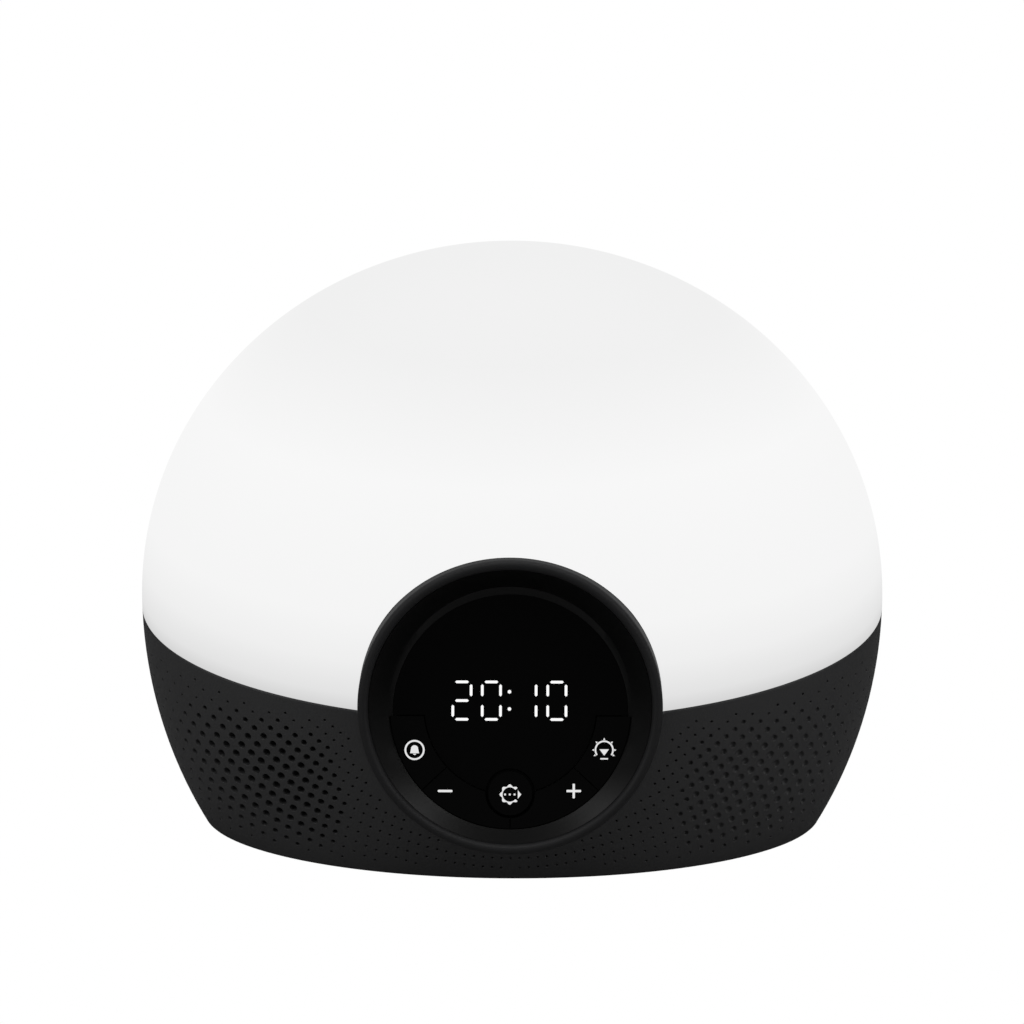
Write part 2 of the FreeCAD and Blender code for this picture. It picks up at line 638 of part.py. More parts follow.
# Keys: a smile-shaped band split into five.
key_r = disc_r - key_gap
below_line = placed(Part.makeBox(100, 60, 40, V(-50, key_line - 60, -20)), DISC)
key_band = tube(DISC, key_r, key_inner_r, -key_thick, 0.0).common(below_line)
key_band = key_band.cut(rod(DISC, menu_r + key_gap, -10.0, 10.0, 0, -menu_at))
middle_gap = placed(Part.makeBox(key_gap, 20.0, 20.0, V(-key_gap / 2.0, -menu_at - 20.0, -10.0)), DISC)


def split_cut(side):
    """Radial saw cut between an outer and an inner key."""
    cut = Part.makeBox(key_gap, 30.0, 20.0, V(-key_gap / 2.0, -45.0, -10.0))
    cut.rotate(V(0, 0, 0), V(0, 0, 1), side * split_angle)
    return placed(cut, DISC)


key_band = key_band.cut(join([middle_gap, split_cut(1), split_cut(-1)]))
by_side = sorted(key_band.Solids, key=lambda k: k.CenterOfMass.x)
by_side = [k for k in by_side if k.Volume > 20.0]
print("band keys", [round(k.Volume) for k in by_side])
menu_key = spin_flat([(0, -key_thick), (menu_r, -key_thick), (menu_r, -0.5), (menu_r - 0.5, 0), (0, 0)],
                     frame(DISC, (0, -menu_at, 0)), smooth_sides)
caps = {"alarm": by_side[0], "minus": by_side[1], "menu": menu_key, "plus": by_side[2], "sunset": by_side[3]}
key_turns = {"alarm": -66.0, "minus": -26.0, "menu": 0.0, "plus": 26.0, "sunset": 66.0}
switch_at = {}
for name, turn in key_turns.items():
    reach = menu_at if name == "menu" else plunger_at
    switch_at[name] = (reach * math.sin(math.radians(turn)), -reach * math.cos(math.radians(turn)))
switch_top = -board_front + switch_tall
guide_back = -shoulder_back - guide_thick
for name, cap in caps.items():
    save(name + "_key", cap)
    x, y = switch_at[name]
    stem = join([prism(DISC, plunger_r, boss_sides, switch_top - 0.3, -key_thick, x, y),
                 prism(DISC, plunger_r + 0.8, boss_sides, guide_back - 0.9, guide_back - 0.3, x, y)])
    save(name + "_plunger", stem)

# Key guide behind the band, with a fence that carries the lower edge of the window.
guide = prism(DISC, chamber_r - 0.1, hidden_sides, guide_back, -shoulder_back)
guide = guide.cut(prism(DISC, 15.6, hidden_sides, -20.0, 0.0))
guide = guide.common(placed(Part.makeBox(100, 60, 40, V(-50, -8.2 - 60, -20)), DISC))
fence = prism(DISC, 23.2, hidden_sides, -shoulder_back - 0.5, -lens_back).cut(prism(DISC, 22.0, hidden_sides, -20.0, 0.0))
fence = fence.common(placed(Part.makeBox(100, 60, 40, V(-50, -8.2 - 60, -20)), DISC))
fence = fence.cut(prism(DISC, menu_r + 0.9, turned_sides, -20.0, 0.0, 0, -menu_at))
guide = join([guide, fence])
guide_cuts = [prism(DISC, plunger_r + 0.35, boss_sides, -20.0, 0.0, x, y) for x, y in switch_at.values()]
guide_cuts += [prism(DISC, 2.9, boss_sides, -20.0, 0.0, x, y) for x, y in post_at[2:]]
guide = guide.cut(Part.makeCompound(guide_cuts))
save("key_guide", guide)
print("guide", guide.isValid(), len(guide.Solids))

# Display board with digit module, tact switches and key lights.
display_board = prism(DISC, chamber_r - 0.3, hidden_sides, -board_front - board_thick, -board_front)
display_board = display_board.cut(Part.makeCompound([hole(DISC, 1.3, -30.0, 0.0, x, y) for x, y in post_at]))
save("display_board", display_board)
board_rear = -board_front - board_thick
save("display_screws", [screw(DISC, x, y, board_rear, 2.2, 1.3, 0.9, 5.5, up=False) for x, y in post_at])
module_at = (-0.3, 2.2)
module_size = (40.0, 16.6, board_front - lens_back - 0.3)
module = soft_block(DISC, module_size, module_at, -board_front, 0.8)
save("digit_module", module)
switches = []
for x, y in switch_at.values():
    body = soft_block(DISC, (switch_side, switch_side, switch_tall), (x, y), -board_front, 0.6)
    switches.append(body.cut(prism(DISC, plunger_r + 0.35, boss_sides, switch_top - 1.2, 0.0, x, y)))
save("switch_bodies", switches)
lights = []
for name, turn in (("alarm", -80.0), ("minus", -36.0), ("menu", 0.0), ("plus", 36.0), ("sunset", 80.0)):
    reach = menu_at - 6.6 if name == "menu" else plunger_at
    spot = (reach * math.sin(math.radians(turn)), -reach * math.cos(math.radians(turn)))
    lights.append(block(DISC, (2.0, 2.0, 1.2), spot, -board_front))
save("key_lights", lights)
print("display ready")

# Loudspeaker, built along its axis from the collar inwards.
seat = -speaker_seat
flange_front = seat - gasket_thick
screw_at = ring_points(4, speaker_screw_r, 45.0)
screw_holes = Part.makeCompound([hole(SPEAKER, 1.2, -20.0, 0.0, x, y) for x, y in screw_at])
save("speaker_gasket", washer(SPEAKER, speaker_r, surround_r + 0.7, flange_front, seat).cut(screw_holes))
flange_back = flange_front - 0.9
plate_top = flange_front - 10.0
basket = spin_flat([(surround_r - 0.9, flange_front), (speaker_r, flange_front), (speaker_r, flange_back),
                    (surround_r + 0.8, flange_back), (magnet_r - 0.2, plate_top), (9.6, plate_top),
                    (9.6, plate_top + 0.9), (magnet_r - 1.0, plate_top + 0.9),
                    (surround_r - 0.9, flange_back + 0.1)], SPEAKER)
windows = []
for i in range(4):
    opening = Part.makeBox(12.0, 11.0, 5.0, V(8.0, -5.5, plate_top + 2.4))
    opening.rotate(V(0, 0, 0), V(0, 0, 1), 90.0 * i)
    windows.append(placed(opening, SPEAKER))
basket = basket.cut(Part.makeCompound(windows)).cut(screw_holes)
save("speaker_basket", basket)
print("basket", basket.isValid(), len(basket.Solids))
save("speaker_screws", [screw(SPEAKER, x, y, flange_back, 1.6, 1.1, 0.85, 4.2, up=False) for x, y in screw_at])
plate_back = plate_top - 2.0
magnet_back = plate_back - magnet_thick
save("speaker_magnet", washer(SPEAKER, magnet_r, 9.0, magnet_back, plate_back))
save("speaker_top_plate", washer(SPEAKER, magnet_r - 1.0, coil_r + 0.75, plate_back, plate_top))
save("speaker_yoke", spin_flat([(0, magnet_back - 2.0), (magnet_r - 0.8, magnet_back - 2.0),
                           (magnet_r - 0.8, magnet_back), (coil_r - 0.6, magnet_back),
                           (coil_r - 0.6, plate_top), (0, plate_top)], SPEAKER))
cone_front = flange_front - 0.1
neck = plate_top + 4.4
cone = spin_flat([(coil_r + 0.05, neck), (cone_edge_r, cone_front), (cone_edge_r + 0.8, cone_front),
                  (cone_edge_r + 0.8, cone_front - 0.4), (cone_edge_r + 0.2, cone_front - 0.4),
                  (coil_r + 0.05, neck - 0.7)], SPEAKER)
save("speaker_cone", cone)
save("voice_coil", spin_flat([(coil_r - 0.25, plate_top - 3.2), (coil_r, plate_top - 3.2), (coil_r, plate_top - 2.6),
                              (coil_r + 0.35, plate_top - 2.6), (coil_r + 0.35, plate_top + 0.6),
                              (coil_r, plate_top + 0.6), (coil_r, neck + 0.2), (coil_r - 0.25, neck + 0.2)], SPEAKER))
cap_low, cap_rise, cap_r = neck + 0.36, 2.4, coil_r + 0.5
dome_turns = [math.radians(t) for t in (0, 25, 50)]
crown = [(cap_r * math.cos(t), cap_low + cap_rise * math.sin(t)) for t in dome_turns] + [(0, cap_low + cap_rise)]
skin = 0.35
crown += [(0, cap_low + cap_rise - skin)] + [((cap_r - skin) * math.cos(t), cap_low + (cap_rise - skin) * math.sin(t))
                                             for t in reversed(dome_turns)]
dust_cap = spin_flat(crown, SPEAKER)
save("dust_cap", dust_cap)
roll = [(cone_edge_r + 0.05, cone_front), (cone_edge_r + 0.05, cone_front + 0.3)]
roll_low, roll_high = cone_edge_r + 0.8, surround_r - 0.5
roll_mid, roll_half = (roll_low + roll_high) / 2.0, (roll_high - roll_low) / 2.0
for i in range(4):
    t = math.pi - math.pi * i / 3.0
    roll.append((roll_mid + roll_half * math.cos(t), cone_front + 0.3 + 1.0 * math.sin(t)))
roll += [(surround_r, cone_front + 0.4), (surround_r, flange_front), (roll_high - 0.2, flange_front)]
for i in range(4):
    t = math.pi * i / 3.0
    roll.append((roll_mid + (roll_half - 0.3) * math.cos(t), flange_front + 0.02 + 0.93 * math.sin(t)))
save("speaker_surround", spin_flat(roll, SPEAKER))
folds = 3
wave = [(coil_r + 0.01, plate_top + 2.6)]
wave += [(coil_r + 1.4 * i, plate_top + 2.6 + (0.45 if i % 2 else -0.2)) for i in range(1, folds + 1)]
under = [(r, z - 0.35) for r, z in reversed(wave)]
wave += [(11.8, plate_top + 1.2), (13.2, plate_top + 1.2), (13.2, plate_top + 0.9), (11.6, plate_top + 0.9)] + under
save("speaker_spider", spin_flat(wave, SPEAKER))
terminal_y = -20.5
save("speaker_terminals", soft_block(SPEAKER, (9.0, 2.8, 1.4), (0.0, terminal_y), flange_back - 1.4, 0.6))
print("speaker ready")


wire_outline = ring_points(6, lead_r)
ribbon_outline = [(sx * ribbon[0] / 2.0, sy * ribbon[1] / 2.0) for sx, sy in ((-1, -1), (1, -1), (1, 1), (-1, 1))]


def sweep(points, outline):
    """An outline carried along straight runs from point to point."""
    points = [V(*p) for p in points]
    heading = points[1] - points[0]
    heading.normalize()
    side = V(1, 0, 0) - heading * heading.x
    side.normalize()
    rise = heading.cross(side)
    ring = [points[0] + side * x + rise * y for x, y in outline]
    path = Part.makePolygon(points)
    return placed(path.makePipeShell([Part.makePolygon(ring + ring[:1])], True, False, 1), BODY)


def in_body(place, x, y, z):
    """A point of another frame, given in body coordinates."""
    p = BODY.inverse().multVec(place.multVec(V(x, y, z)))
    return (p.x, p.y, p.z)


# Main board on the standoffs of the bottom cover.
main_low = cover_top + standoff_tall
main_top = main_low + main_size[2]
main_board = soft_block(BODY, main_size, main_at, main_low, 1.5)
main_board = main_board.cut(Part.makeCompound([hole(BODY, 1.5, 0.0, 20.0, x, y) for x, y in main_holes]))
save("main_board", main_board)
save("control_chip", block(BODY, (10.0, 10.0, 1.4), (12.0, 0.0), main_top))
save("amplifier_chip", block(BODY, (6.4, 5.0, 1.5), (-20.0, -8.0), main_top))
can_r, can_tall = 4.0, 8.5
cans = []
for x in (-26.0, -16.0, -6.0):
    cans.append(spin_flat([(0, main_top), (can_r, main_top), (can_r, main_top + can_tall - 0.5),
                           (can_r - 0.5, main_top + can_tall), (0, main_top + can_tall)],
                          frame(BODY, (x, 10.0, 0)), 16))
save("electrolytic_capacitors", cans)
save("power_inductor", soft_block(BODY, (7.5, 7.5, 4.4), (26.0, 8.0), main_top, 1.6))
speaker_plug, light_plug, display_plug, power_plug = (-33.0, -9.0), (37.0, 12.0), (0.0, -17.0), (14.0, 19.0)
plugs = [block(BODY, connector, at, main_top) for at in (speaker_plug, light_plug, display_plug, power_plug)]
ribbon_at = -20.0
plugs[2] = block(BODY, (ribbon[0] + 3.0, connector[1], connector[2]), display_plug, main_top)
plugs.append(block(DISC, (ribbon[0] + 3.0, 4.0, 2.6), (0.0, ribbon_at), board_rear - 2.6))
save("board_connectors", plugs)
plug_top = main_top + connector[2]

# DC inlet: a black block behind the pocket floor, with its nose through the floor and a centre pin.
floor_thick = 2.0
jack_deep = 8.5
jack = join([block(JACK, (jack_block, jack_block, jack_block), (0, 0), -floor_thick - jack_block),
             prism(JACK, nose_r, turned_sides, -floor_thick - 0.5, 0.8)])
jack = jack.cut(rod(JACK, jack_bore_r, -jack_deep, 1.0)).cut(prism(JACK, root_r, 4, -jack_deep - 2.0, 0.0))
save("power_jack", jack)
pin_tip = -0.2
root_top = root_stand - jack_deep
pin = spin([(0, root_top), (jack_pin_r, root_top), (jack_pin_r, pin_tip - 0.4), (jack_pin_r - 0.4, pin_tip),
            (0, pin_tip)], JACK)
save("jack_pin", pin.fuse(prism(JACK, root_r, 4, -jack_deep - 2.0, root_top)))

# Leads and ribbon.
jack_back = pocket_floor - floor_thick - jack_block
power = []
for i in (-1, 1):
    power.append(sweep([(2.5 * i, jack_back, jack_z), (2.5 * i, jack_back - 1.5, jack_z),
                        (4.0 + 2.0 * i, jack_back - 5.0, jack_z + 3.0), (10.0 + 1.8 * i, 24.0, jack_z + 5.0),
                        (power_plug[0] + 1.6 * i, power_plug[1], plug_top + 2.5),
                        (power_plug[0] + 1.6 * i, power_plug[1], plug_top)], wire_outline))
save("power_leads", power)
light = []
for i in (-1, 1):
    pad = in_body(SEAM, 44.0 + 1.6 * i, light_y + 17.0, board_top)
    lift = in_body(SEAM, 44.0 + 1.6 * i, light_y + 17.0, board_top + 2.2)
    over = in_body(SEAM, 47.0 + 1.6 * i, light_y + 27.5, board_top + 2.0)
    gate = in_body(SEAM, lead_gate[0] + 1.6 * i, lead_gate[1], tray_top - 1.0)
    light.append(sweep([pad, lift, over, gate, (47.0 + 1.6 * i, 33.0, 50.0), (40.0 + 1.6 * i, 19.0, 28.0),
                        (light_plug[0] + 1.6 * i, light_plug[1], plug_top + 3.0),
                        (light_plug[0] + 1.6 * i, light_plug[1], plug_top)], wire_outline))
save("light_leads", light)
sound = []
for i in (-1, 1):
    tab = in_body(SPEAKER, 2.4 * i, terminal_y, flange_back - 1.4)
    off = in_body(SPEAKER, 2.4 * i, terminal_y, flange_back - 4.0)
    sound.append(sweep([tab, off, (-52.0 + 1.6 * i, -22.0, 13.0), (-42.0 + 1.2 * i, -16.0, 18.5),
                        (speaker_plug[0] + 1.6 * i, speaker_plug[1], plug_top + 3.0),
                        (speaker_plug[0] + 1.6 * i, speaker_plug[1], plug_top)], wire_outline))
save("speaker_leads", sound)
top = in_body(DISC, 0.0, ribbon_at, board_rear - 2.6)
out = in_body(DISC, 0.0, ribbon_at, board_rear - 5.0)
save("display_ribbon", sweep([top, out, (0.0, -30.5, 26.5), (0.0, -25.0, 22.0), (0.0, display_plug[1] - 3.0, 19.0),
                              (0.0, display_plug[1], plug_top + 2.5), (0.0, display_plug[1], plug_top)],
                             ribbon_outline))
print("pieces", len(os.listdir("parts")))
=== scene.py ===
import math
import bmesh
import bpy
import numpy as np
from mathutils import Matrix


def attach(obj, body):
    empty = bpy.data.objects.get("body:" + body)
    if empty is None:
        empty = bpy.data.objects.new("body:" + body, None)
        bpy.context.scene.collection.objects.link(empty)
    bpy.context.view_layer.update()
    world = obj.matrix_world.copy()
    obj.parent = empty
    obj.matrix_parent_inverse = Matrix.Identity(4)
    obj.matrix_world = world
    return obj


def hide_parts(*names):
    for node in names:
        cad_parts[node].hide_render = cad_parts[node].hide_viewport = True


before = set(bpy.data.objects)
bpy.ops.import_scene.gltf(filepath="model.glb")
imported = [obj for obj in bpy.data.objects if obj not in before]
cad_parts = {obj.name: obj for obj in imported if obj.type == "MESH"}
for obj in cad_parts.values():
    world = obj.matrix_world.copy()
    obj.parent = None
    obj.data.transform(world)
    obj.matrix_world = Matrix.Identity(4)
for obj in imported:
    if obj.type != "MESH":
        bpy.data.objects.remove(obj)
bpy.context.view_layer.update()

# Sunrise alarm clock, 210 mm wide: a glowing opal dome on a dark perforated base with a round display pod.
# Points are worked out in millimetres in the CAD frame: +X right, -Y front, +Z up, origin on the table.
scene = bpy.context.scene


def linear(code, alpha=1.0):
    """Linear colour from an sRGB hex code: ((c + 0.055) / 1.055) ** 2.4 above 0.04, c / 12.92 below."""
    parts = [int(code[i:i + 2], 16) / 255.0 for i in (1, 3, 5)]
    return tuple(c / 12.92 if c <= 0.04045 else ((c + 0.055) / 1.055) ** 2.4 for c in parts) + (alpha,)


def add(mat, kind, settings=None, **links):
    """A node of a material with its settings, and its inputs linked to sockets or set to values."""
    new = mat.node_tree.nodes.new("ShaderNode" + kind)
    for key, value in (settings or {}).items():
        setattr(new, key, value)
    for key, value in links.items():
        numbered = key[0] == "i" and key[1:].isdigit()
        socket = new.inputs[int(key[1:])] if numbered else new.inputs[key.replace("_", " ")]
        if isinstance(value, bpy.types.NodeSocket):
            mat.node_tree.links.new(value, socket)
        else:
            socket.default_value = value
    return new


def material(name):
    """An empty material with an output node, and its Object coordinates in millimetres."""
    mat = bpy.data.materials.new(name)
    mat.use_nodes = True
    mat.node_tree.nodes.clear()
    out = add(mat, "OutputMaterial")
    metres = add(mat, "TexCoord").outputs["Object"]
    place = add(mat, "VectorMath", {"operation": "SCALE"}, i0=metres, Scale=1000.0)
    return mat, out, place.outputs[0]


def moulded(name, colour, rough, grain_mm, grain, specular=0.5):
    """Moulded plastic: a colour up to 12% darker in patches of 30 mm, with a fine texture of grain_mm."""
    mat, out, place = material(name)
    broad = add(mat, "TexNoise", None, Vector=place, Scale=1.0 / 30.0, Detail=3.0)
    fine = add(mat, "TexNoise", None, Vector=place, Scale=1.0 / grain_mm, Detail=2.0)
    dark = tuple(c * (1.0 - 0.12) for c in linear(colour)[:3]) + (1.0,)
    tone = add(mat, "Mix", {"data_type": "RGBA"}, Factor=broad.outputs["Fac"], i6=dark, i7=linear(colour))
    dull = add(mat, "MapRange", None, Value=fine.outputs["Fac"], To_Min=rough - 0.05, To_Max=rough + 0.05)
    bump = add(mat, "Bump", None, Strength=grain, Distance=0.0001, Height=fine.outputs["Fac"])
    body = add(mat, "BsdfPrincipled", None, Base_Color=tone.outputs[2], Roughness=dull.outputs[0],
               Normal=bump.outputs[0], Specular_IOR_Level=specular)
    mat.node_tree.links.new(body.outputs[0], out.inputs["Surface"])
    return mat


def grid_faces(rows, columns, close_rows=False, close_columns=False):
    """Quads of a rows x columns net of points, joined end to end where asked."""
    i = np.arange(rows if close_rows else rows - 1)[:, None]
    j = np.arange(columns if close_columns else columns - 1)[None, :]
    i1, j1 = (i + 1) % rows, (j + 1) % columns
    quads = [i * columns + j, i1 * columns + j, i1 * columns + j1, i * columns + j1]
    return np.stack(quads, axis=-1).reshape(-1, 4)


def piece(name, parts, body, mat, stands_for=(), smooth=True):
    """One object from (points in mm, faces) parts, riding on a body. Edges over 38 degrees stay sharp."""
    points, faces, base = [], [], 0
    for part_points, part_faces in parts:
        part_points = np.asarray(part_points, float).reshape(-1, 3)
        points.append(part_points)
        faces += [tuple(int(v) + base for v in f) for f in part_faces]
        base += len(part_points)
    mesh = bpy.data.meshes.new(name)
    mesh.from_pydata((np.concatenate(points) * 0.001).tolist(), [], faces)
    mesh.update()
    mesh.polygons.foreach_set("use_smooth", [smooth] * len(mesh.polygons))
    if smooth:
        mesh.set_sharp_from_angle(angle=math.radians(38.0))
    obj = bpy.data.objects.new(name, mesh)
    scene.collection.objects.link(obj)
    mesh.materials.append(mat)
    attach(obj, body)
    if stands_for:
        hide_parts(*stands_for)
    return obj


# The body is an egg: ovals of 210 x 116 mm, widest at z 67, 103.5 mm up to the crown and flattened below.
# The seam between base and dome is a plane that leans back 14.2 degrees.
a_mm, b_mm, belly, rise, drop, body_y = 105.0, 58.0, 67.0, 103.5, 121.0, 3.248
seam_turn = math.radians(14.2)
seam_z, seam_slope = 66.0, math.tan(seam_turn)
seam_up = (0.0, -math.sin(seam_turn), math.cos(seam_turn))
turn_table = np.linspace(0.0, math.pi, 2001)
rate = np.hypot(a_mm * np.cos(turn_table), b_mm * np.sin(turn_table))
length_table = np.concatenate([[0.0], np.cumsum((rate[1:] + rate[:-1]) / 2.0 * np.diff(turn_table))])


def turn_of(length):
    """Turn from the front at a length along the widest oval: read from the table of summed arc lengths."""
    return np.interp(np.abs(length), length_table, turn_table) * np.sign(length)


def egg(turn, z, inset=0.0):
    """Point of the egg at a turn from the front and height z, moved straight in by inset."""
    turn, z = np.broadcast_arrays(np.asarray(turn, float), np.asarray(z, float))
    tall = np.where(z > belly, rise, drop)
    size = np.sqrt(np.clip(1.0 - ((z - belly) / tall) ** 2, 0.0, 1.0))
    p = np.stack([a_mm * size * np.sin(turn), -b_mm * size * np.cos(turn) + body_y, z + 0.0 * turn], axis=-1)
    return p - inset * egg_normal(p) if np.any(inset) else p


def egg_normal(p):
    """Outward unit normal of the egg at a point p: each offset over the square of its half axis."""
    tall = np.where(p[..., 2] > belly, rise, drop)
    n = [p[..., 0] / a_mm ** 2, (p[..., 1] - body_y) / b_mm ** 2, (p[..., 2] - belly) / tall ** 2]
    n = np.stack(n, axis=-1)
    return n / np.linalg.norm(n, axis=-1, keepdims=True)


def egg_touch(p):
    """Points carried onto the egg along its normal: two Newton steps on the level function."""
    for _ in range(2):
        tall = np.where(p[..., 2] > belly, rise, drop)
        q = np.stack([p[..., 0] / a_mm, (p[..., 1] - body_y) / b_mm, (p[..., 2] - belly) / tall], axis=-1)
        grad = np.stack([q[..., 0] / a_mm, q[..., 1] / b_mm, q[..., 2] / tall], axis=-1) * 2.0
        value = (q ** 2).sum(-1) - 1.0
        p = p - grad * (value / (grad ** 2).sum(-1))[..., None]
    return p


def seam_height(turn):
    """Height of the tilted seam plane where it meets the wall: eight rounds of z = 66 + slope * y(z)."""
    z = np.full(np.shape(turn), seam_z)
    for _ in range(8):
        z = seam_z + seam_slope * (egg(turn, z)[..., 1] - body_y)
    return z


# The pod's lip leans back 5 degrees from upright. Its frame has z coming out of the pod.
lip_turn = math.radians(85.0)
pod_hole_r = 41.8


def lip(x, y, z):
    """Point of the lip frame, turned about X by 85 degrees and set 61 mm forward and 56 mm up."""
    c, s = math.cos(lip_turn), math.sin(lip_turn)
    x, y, z = np.broadcast_arrays(*(np.asarray(v, float) for v in (x, y, z)))
    return np.stack([x, body_y - 61.0 + y * c - z * s, 56.0 + y * s + z * c], axis=-1)


def in_lip(p):
    """The lip-frame coordinates of points."""
    c, s = math.cos(lip_turn), math.sin(lip_turn)
    y, z = p[..., 1] - body_y + 61.0, p[..., 2] - 56.0
    return np.stack([p[..., 0], y * c + z * s, -y * s + z * c], axis=-1)


# Base housing: charcoal ABS, moulded with a fine spark texture. Its perforation follows confocal curves around
# the pod. Each cell of the grid carries one hole: through on the loudspeaker's side, a blind dimple elsewhere.
abs_black = moulded("charcoal textured ABS", "#242425", 0.62, 0.35, 0.5)
hole_sides = 16
dot_r = 0.36                       # dots outside the fields
rim_r, middle_r = 0.6, 1.2         # holes at the rim and in the middle of a field
field_s, field_z = 79.0, 27.0      # middle of each side's field, along the wall and up
field_wide, field_tall = 30.0, 20.5
wall = 2.4
recess_r, recess_z = 7.5, 15.0     # plug recess in the rear wall


def grid_place(row, column):
    """Length along the wall and height of a place: zeta = 54 - z + 0.9 i s is the square of row + i column."""
    scale = 2.0 * math.sqrt(50.0)
    down, across = 3.3 * row / scale, 2.7 * column / scale
    s = 2.0 * down * across / 0.9
    z = 54.0 - (down ** 2 - across ** 2)
    return s, z


def hole_radius(s, z):
    """Radius of a hole: small dots, and inside each side's field larger ones that grow to its middle."""
    away = np.abs((np.abs(s) - field_s) / field_wide) ** 3 + np.abs((z - field_z) / field_tall) ** 3
    return np.where(away < 1.0, middle_r - (middle_r - rim_r) * away, dot_r)


def perforated_skin():
    """The cells whose centre lies between the lower edge and the seam, each a ring of points round its hole."""
    rows, columns = np.meshgrid(np.arange(8, 58), np.arange(-66, 67), indexing="ij")
    rows, columns = rows.ravel().astype(float), columns.ravel().astype(float)
    s, z = grid_place(rows, columns)
    keep = (z > -6.0) & (z < 92.0) & (np.abs(s) < 268.0)
    rows, columns, s, z = rows[keep], columns[keep], s[keep], z[keep]
    n = hole_sides
    quarter = n // 4
    steps = np.arange(quarter) / quarter - 0.5
    square = np.concatenate([np.stack([steps, -0.5 + 0 * steps], 1), np.stack([0.5 + 0 * steps, steps], 1),
                             np.stack([-steps, 0.5 + 0 * steps], 1), np.stack([-0.5 + 0 * steps, -steps], 1)])
    angle = np.arctan2(square[:, 1], square[:, 0])
    outer_s, outer_z = grid_place(rows[:, None] + square[None, :, 0], columns[:, None] + square[None, :, 1])
    outer = egg(turn_of(outer_s), outer_z)
    middle = egg(turn_of(s), z)
    normal = egg_normal(middle)
    next_s, next_z = grid_place(rows + 0.01, columns)
    along = egg(turn_of(next_s), next_z) - middle
    along /= np.linalg.norm(along, axis=-1, keepdims=True)
    side = np.cross(normal, along)
    next_s, next_z = grid_place(rows, columns + 0.01)
    flip = np.sign(np.einsum("ij,ij->i", np.cross(along, egg(turn_of(next_s), next_z) - middle), normal))
    sideways = (np.sin(angle)[None, :] * flip[:, None])[..., None]
    heading = along[:, None] * np.cos(angle)[None, :, None] + side[:, None] * sideways
    seam = seam_height(turn_of(s))
    pod = np.hypot(in_lip(middle)[:, 0], in_lip(middle)[:, 1])
    pod[middle[:, 1] > 0] = 999.0
    holed = (z > 5.0) & (z < seam - 4.5) & (pod > 45.5) & (np.abs(s) < 150.0)
    through = holed & (s < 0)
    radius = hole_radius(s, z)
    points, faces, base = [], [], 0
    for k in range(len(rows)):
        if pod[k] < 38.5 or z[k] < -4.0 or z[k] > seam[k] + 6.0:
            continue
        if holed[k]:
            r = radius[k]
            rings = [outer[k], egg_touch(middle[k] + heading[k] * (r + 0.1)),
                     middle[k] + heading[k] * r - normal[k] * 0.12,
                     middle[k] + heading[k] * r * 0.86 - normal[k] * (wall if through[k] else 0.85)]
            block = np.concatenate(rings + ([] if through[k] else [[middle[k] - normal[k] * 0.95]]))
            faces += [tuple(f) for f in grid_faces(4, n, close_columns=True)[:, [0, 3, 2, 1]] + base]
            if not through[k]:
                faces += [(base + 3 * n + i, base + 3 * n + (i + 1) % n, base + 4 * n) for i in range(n)]
        else:
            block = np.concatenate([outer[k], [middle[k]]])
            faces += [(base + i, base + (i + 1) % n, base + n) for i in range(n)]
        points.append(block)
        base += len(block)
    return np.concatenate(points), faces


skin_points, skin_faces = perforated_skin()
# Points inside the pod's hole and the plug recess move out onto their rims, along the egg.
near = (np.hypot(*in_lip(skin_points).T[:2]) < pod_hole_r) & (skin_points[:, 1] < body_y)
for _ in range(3):
    flat = in_lip(skin_points[near])
    r = np.maximum(np.hypot(flat[:, 0], flat[:, 1]), 1e-6)
    skin_points[near] = egg_touch(lip(flat[:, 0] * pod_hole_r / r, flat[:, 1] * pod_hole_r / r, flat[:, 2]))
near = (np.hypot(skin_points[:, 0], skin_points[:, 2] - recess_z) < recess_r) & (skin_points[:, 1] > body_y)
for _ in range(3):
    r = np.maximum(np.hypot(skin_points[near, 0], skin_points[near, 2] - recess_z), 1e-6)
    moved = skin_points[near].copy()
    moved[:, 0] *= recess_r / r
    moved[:, 2] = recess_z + (moved[:, 2] - recess_z) * recess_r / r
    skin_points[near] = egg_touch(moved)
skin_faces = [f for f in skin_faces if not near[list(f)].all()]


def cut_plane(bm, point, normal):
    """Clips a mesh, keeping the side that the normal points away from."""
    geom = bm.verts[:] + bm.edges[:] + bm.faces[:]
    bmesh.ops.bisect_plane(bm, geom=geom, dist=1e-7, plane_co=[v * 0.001 for v in point], plane_no=normal,
                           clear_outer=True)


skin = piece("housing_skin", [(skin_points, skin_faces)], "clock", abs_black, ("base_housing",))
rim_round, foot_z = 0.7, 2.0
bm = bmesh.new()
bm.from_mesh(skin.data)
bmesh.ops.remove_doubles(bm, verts=bm.verts[:], dist=2e-6)
cut_plane(bm, [0.0, body_y - rim_round * seam_up[1], seam_z - rim_round * seam_up[2]], seam_up)
cut_plane(bm, [0.0, 0.0, foot_z], (0.0, 0.0, -1.0))
bmesh.ops.dissolve_degenerate(bm, dist=1e-6, edges=bm.edges[:])
bmesh.ops.recalc_face_normals(bm, faces=bm.faces[:])
bm.to_mesh(skin.data)
bm.free()
# The skin's own points take the egg's normals, so that the cells don't show. Points of holes keep their own.
co = np.zeros(len(skin.data.vertices) * 3, np.float32)
skin.data.vertices.foreach_get("co", co)
co = co.reshape(-1, 3).astype(float) * 1000.0
up = (co[:, 2] - belly) / np.where(co[:, 2] > belly, rise, drop)
level = np.abs((co[:, 0] / a_mm) ** 2 + ((co[:, 1] - body_y) / b_mm) ** 2 + up ** 2 - 1.0)
custom = np.where((level < 4e-4)[:, None], egg_normal(co), 0.0)
skin.data.polygons.foreach_set("use_smooth", [True] * len(skin.data.polygons))
skin.data.normals_split_custom_set_from_vertices(custom.tolist())

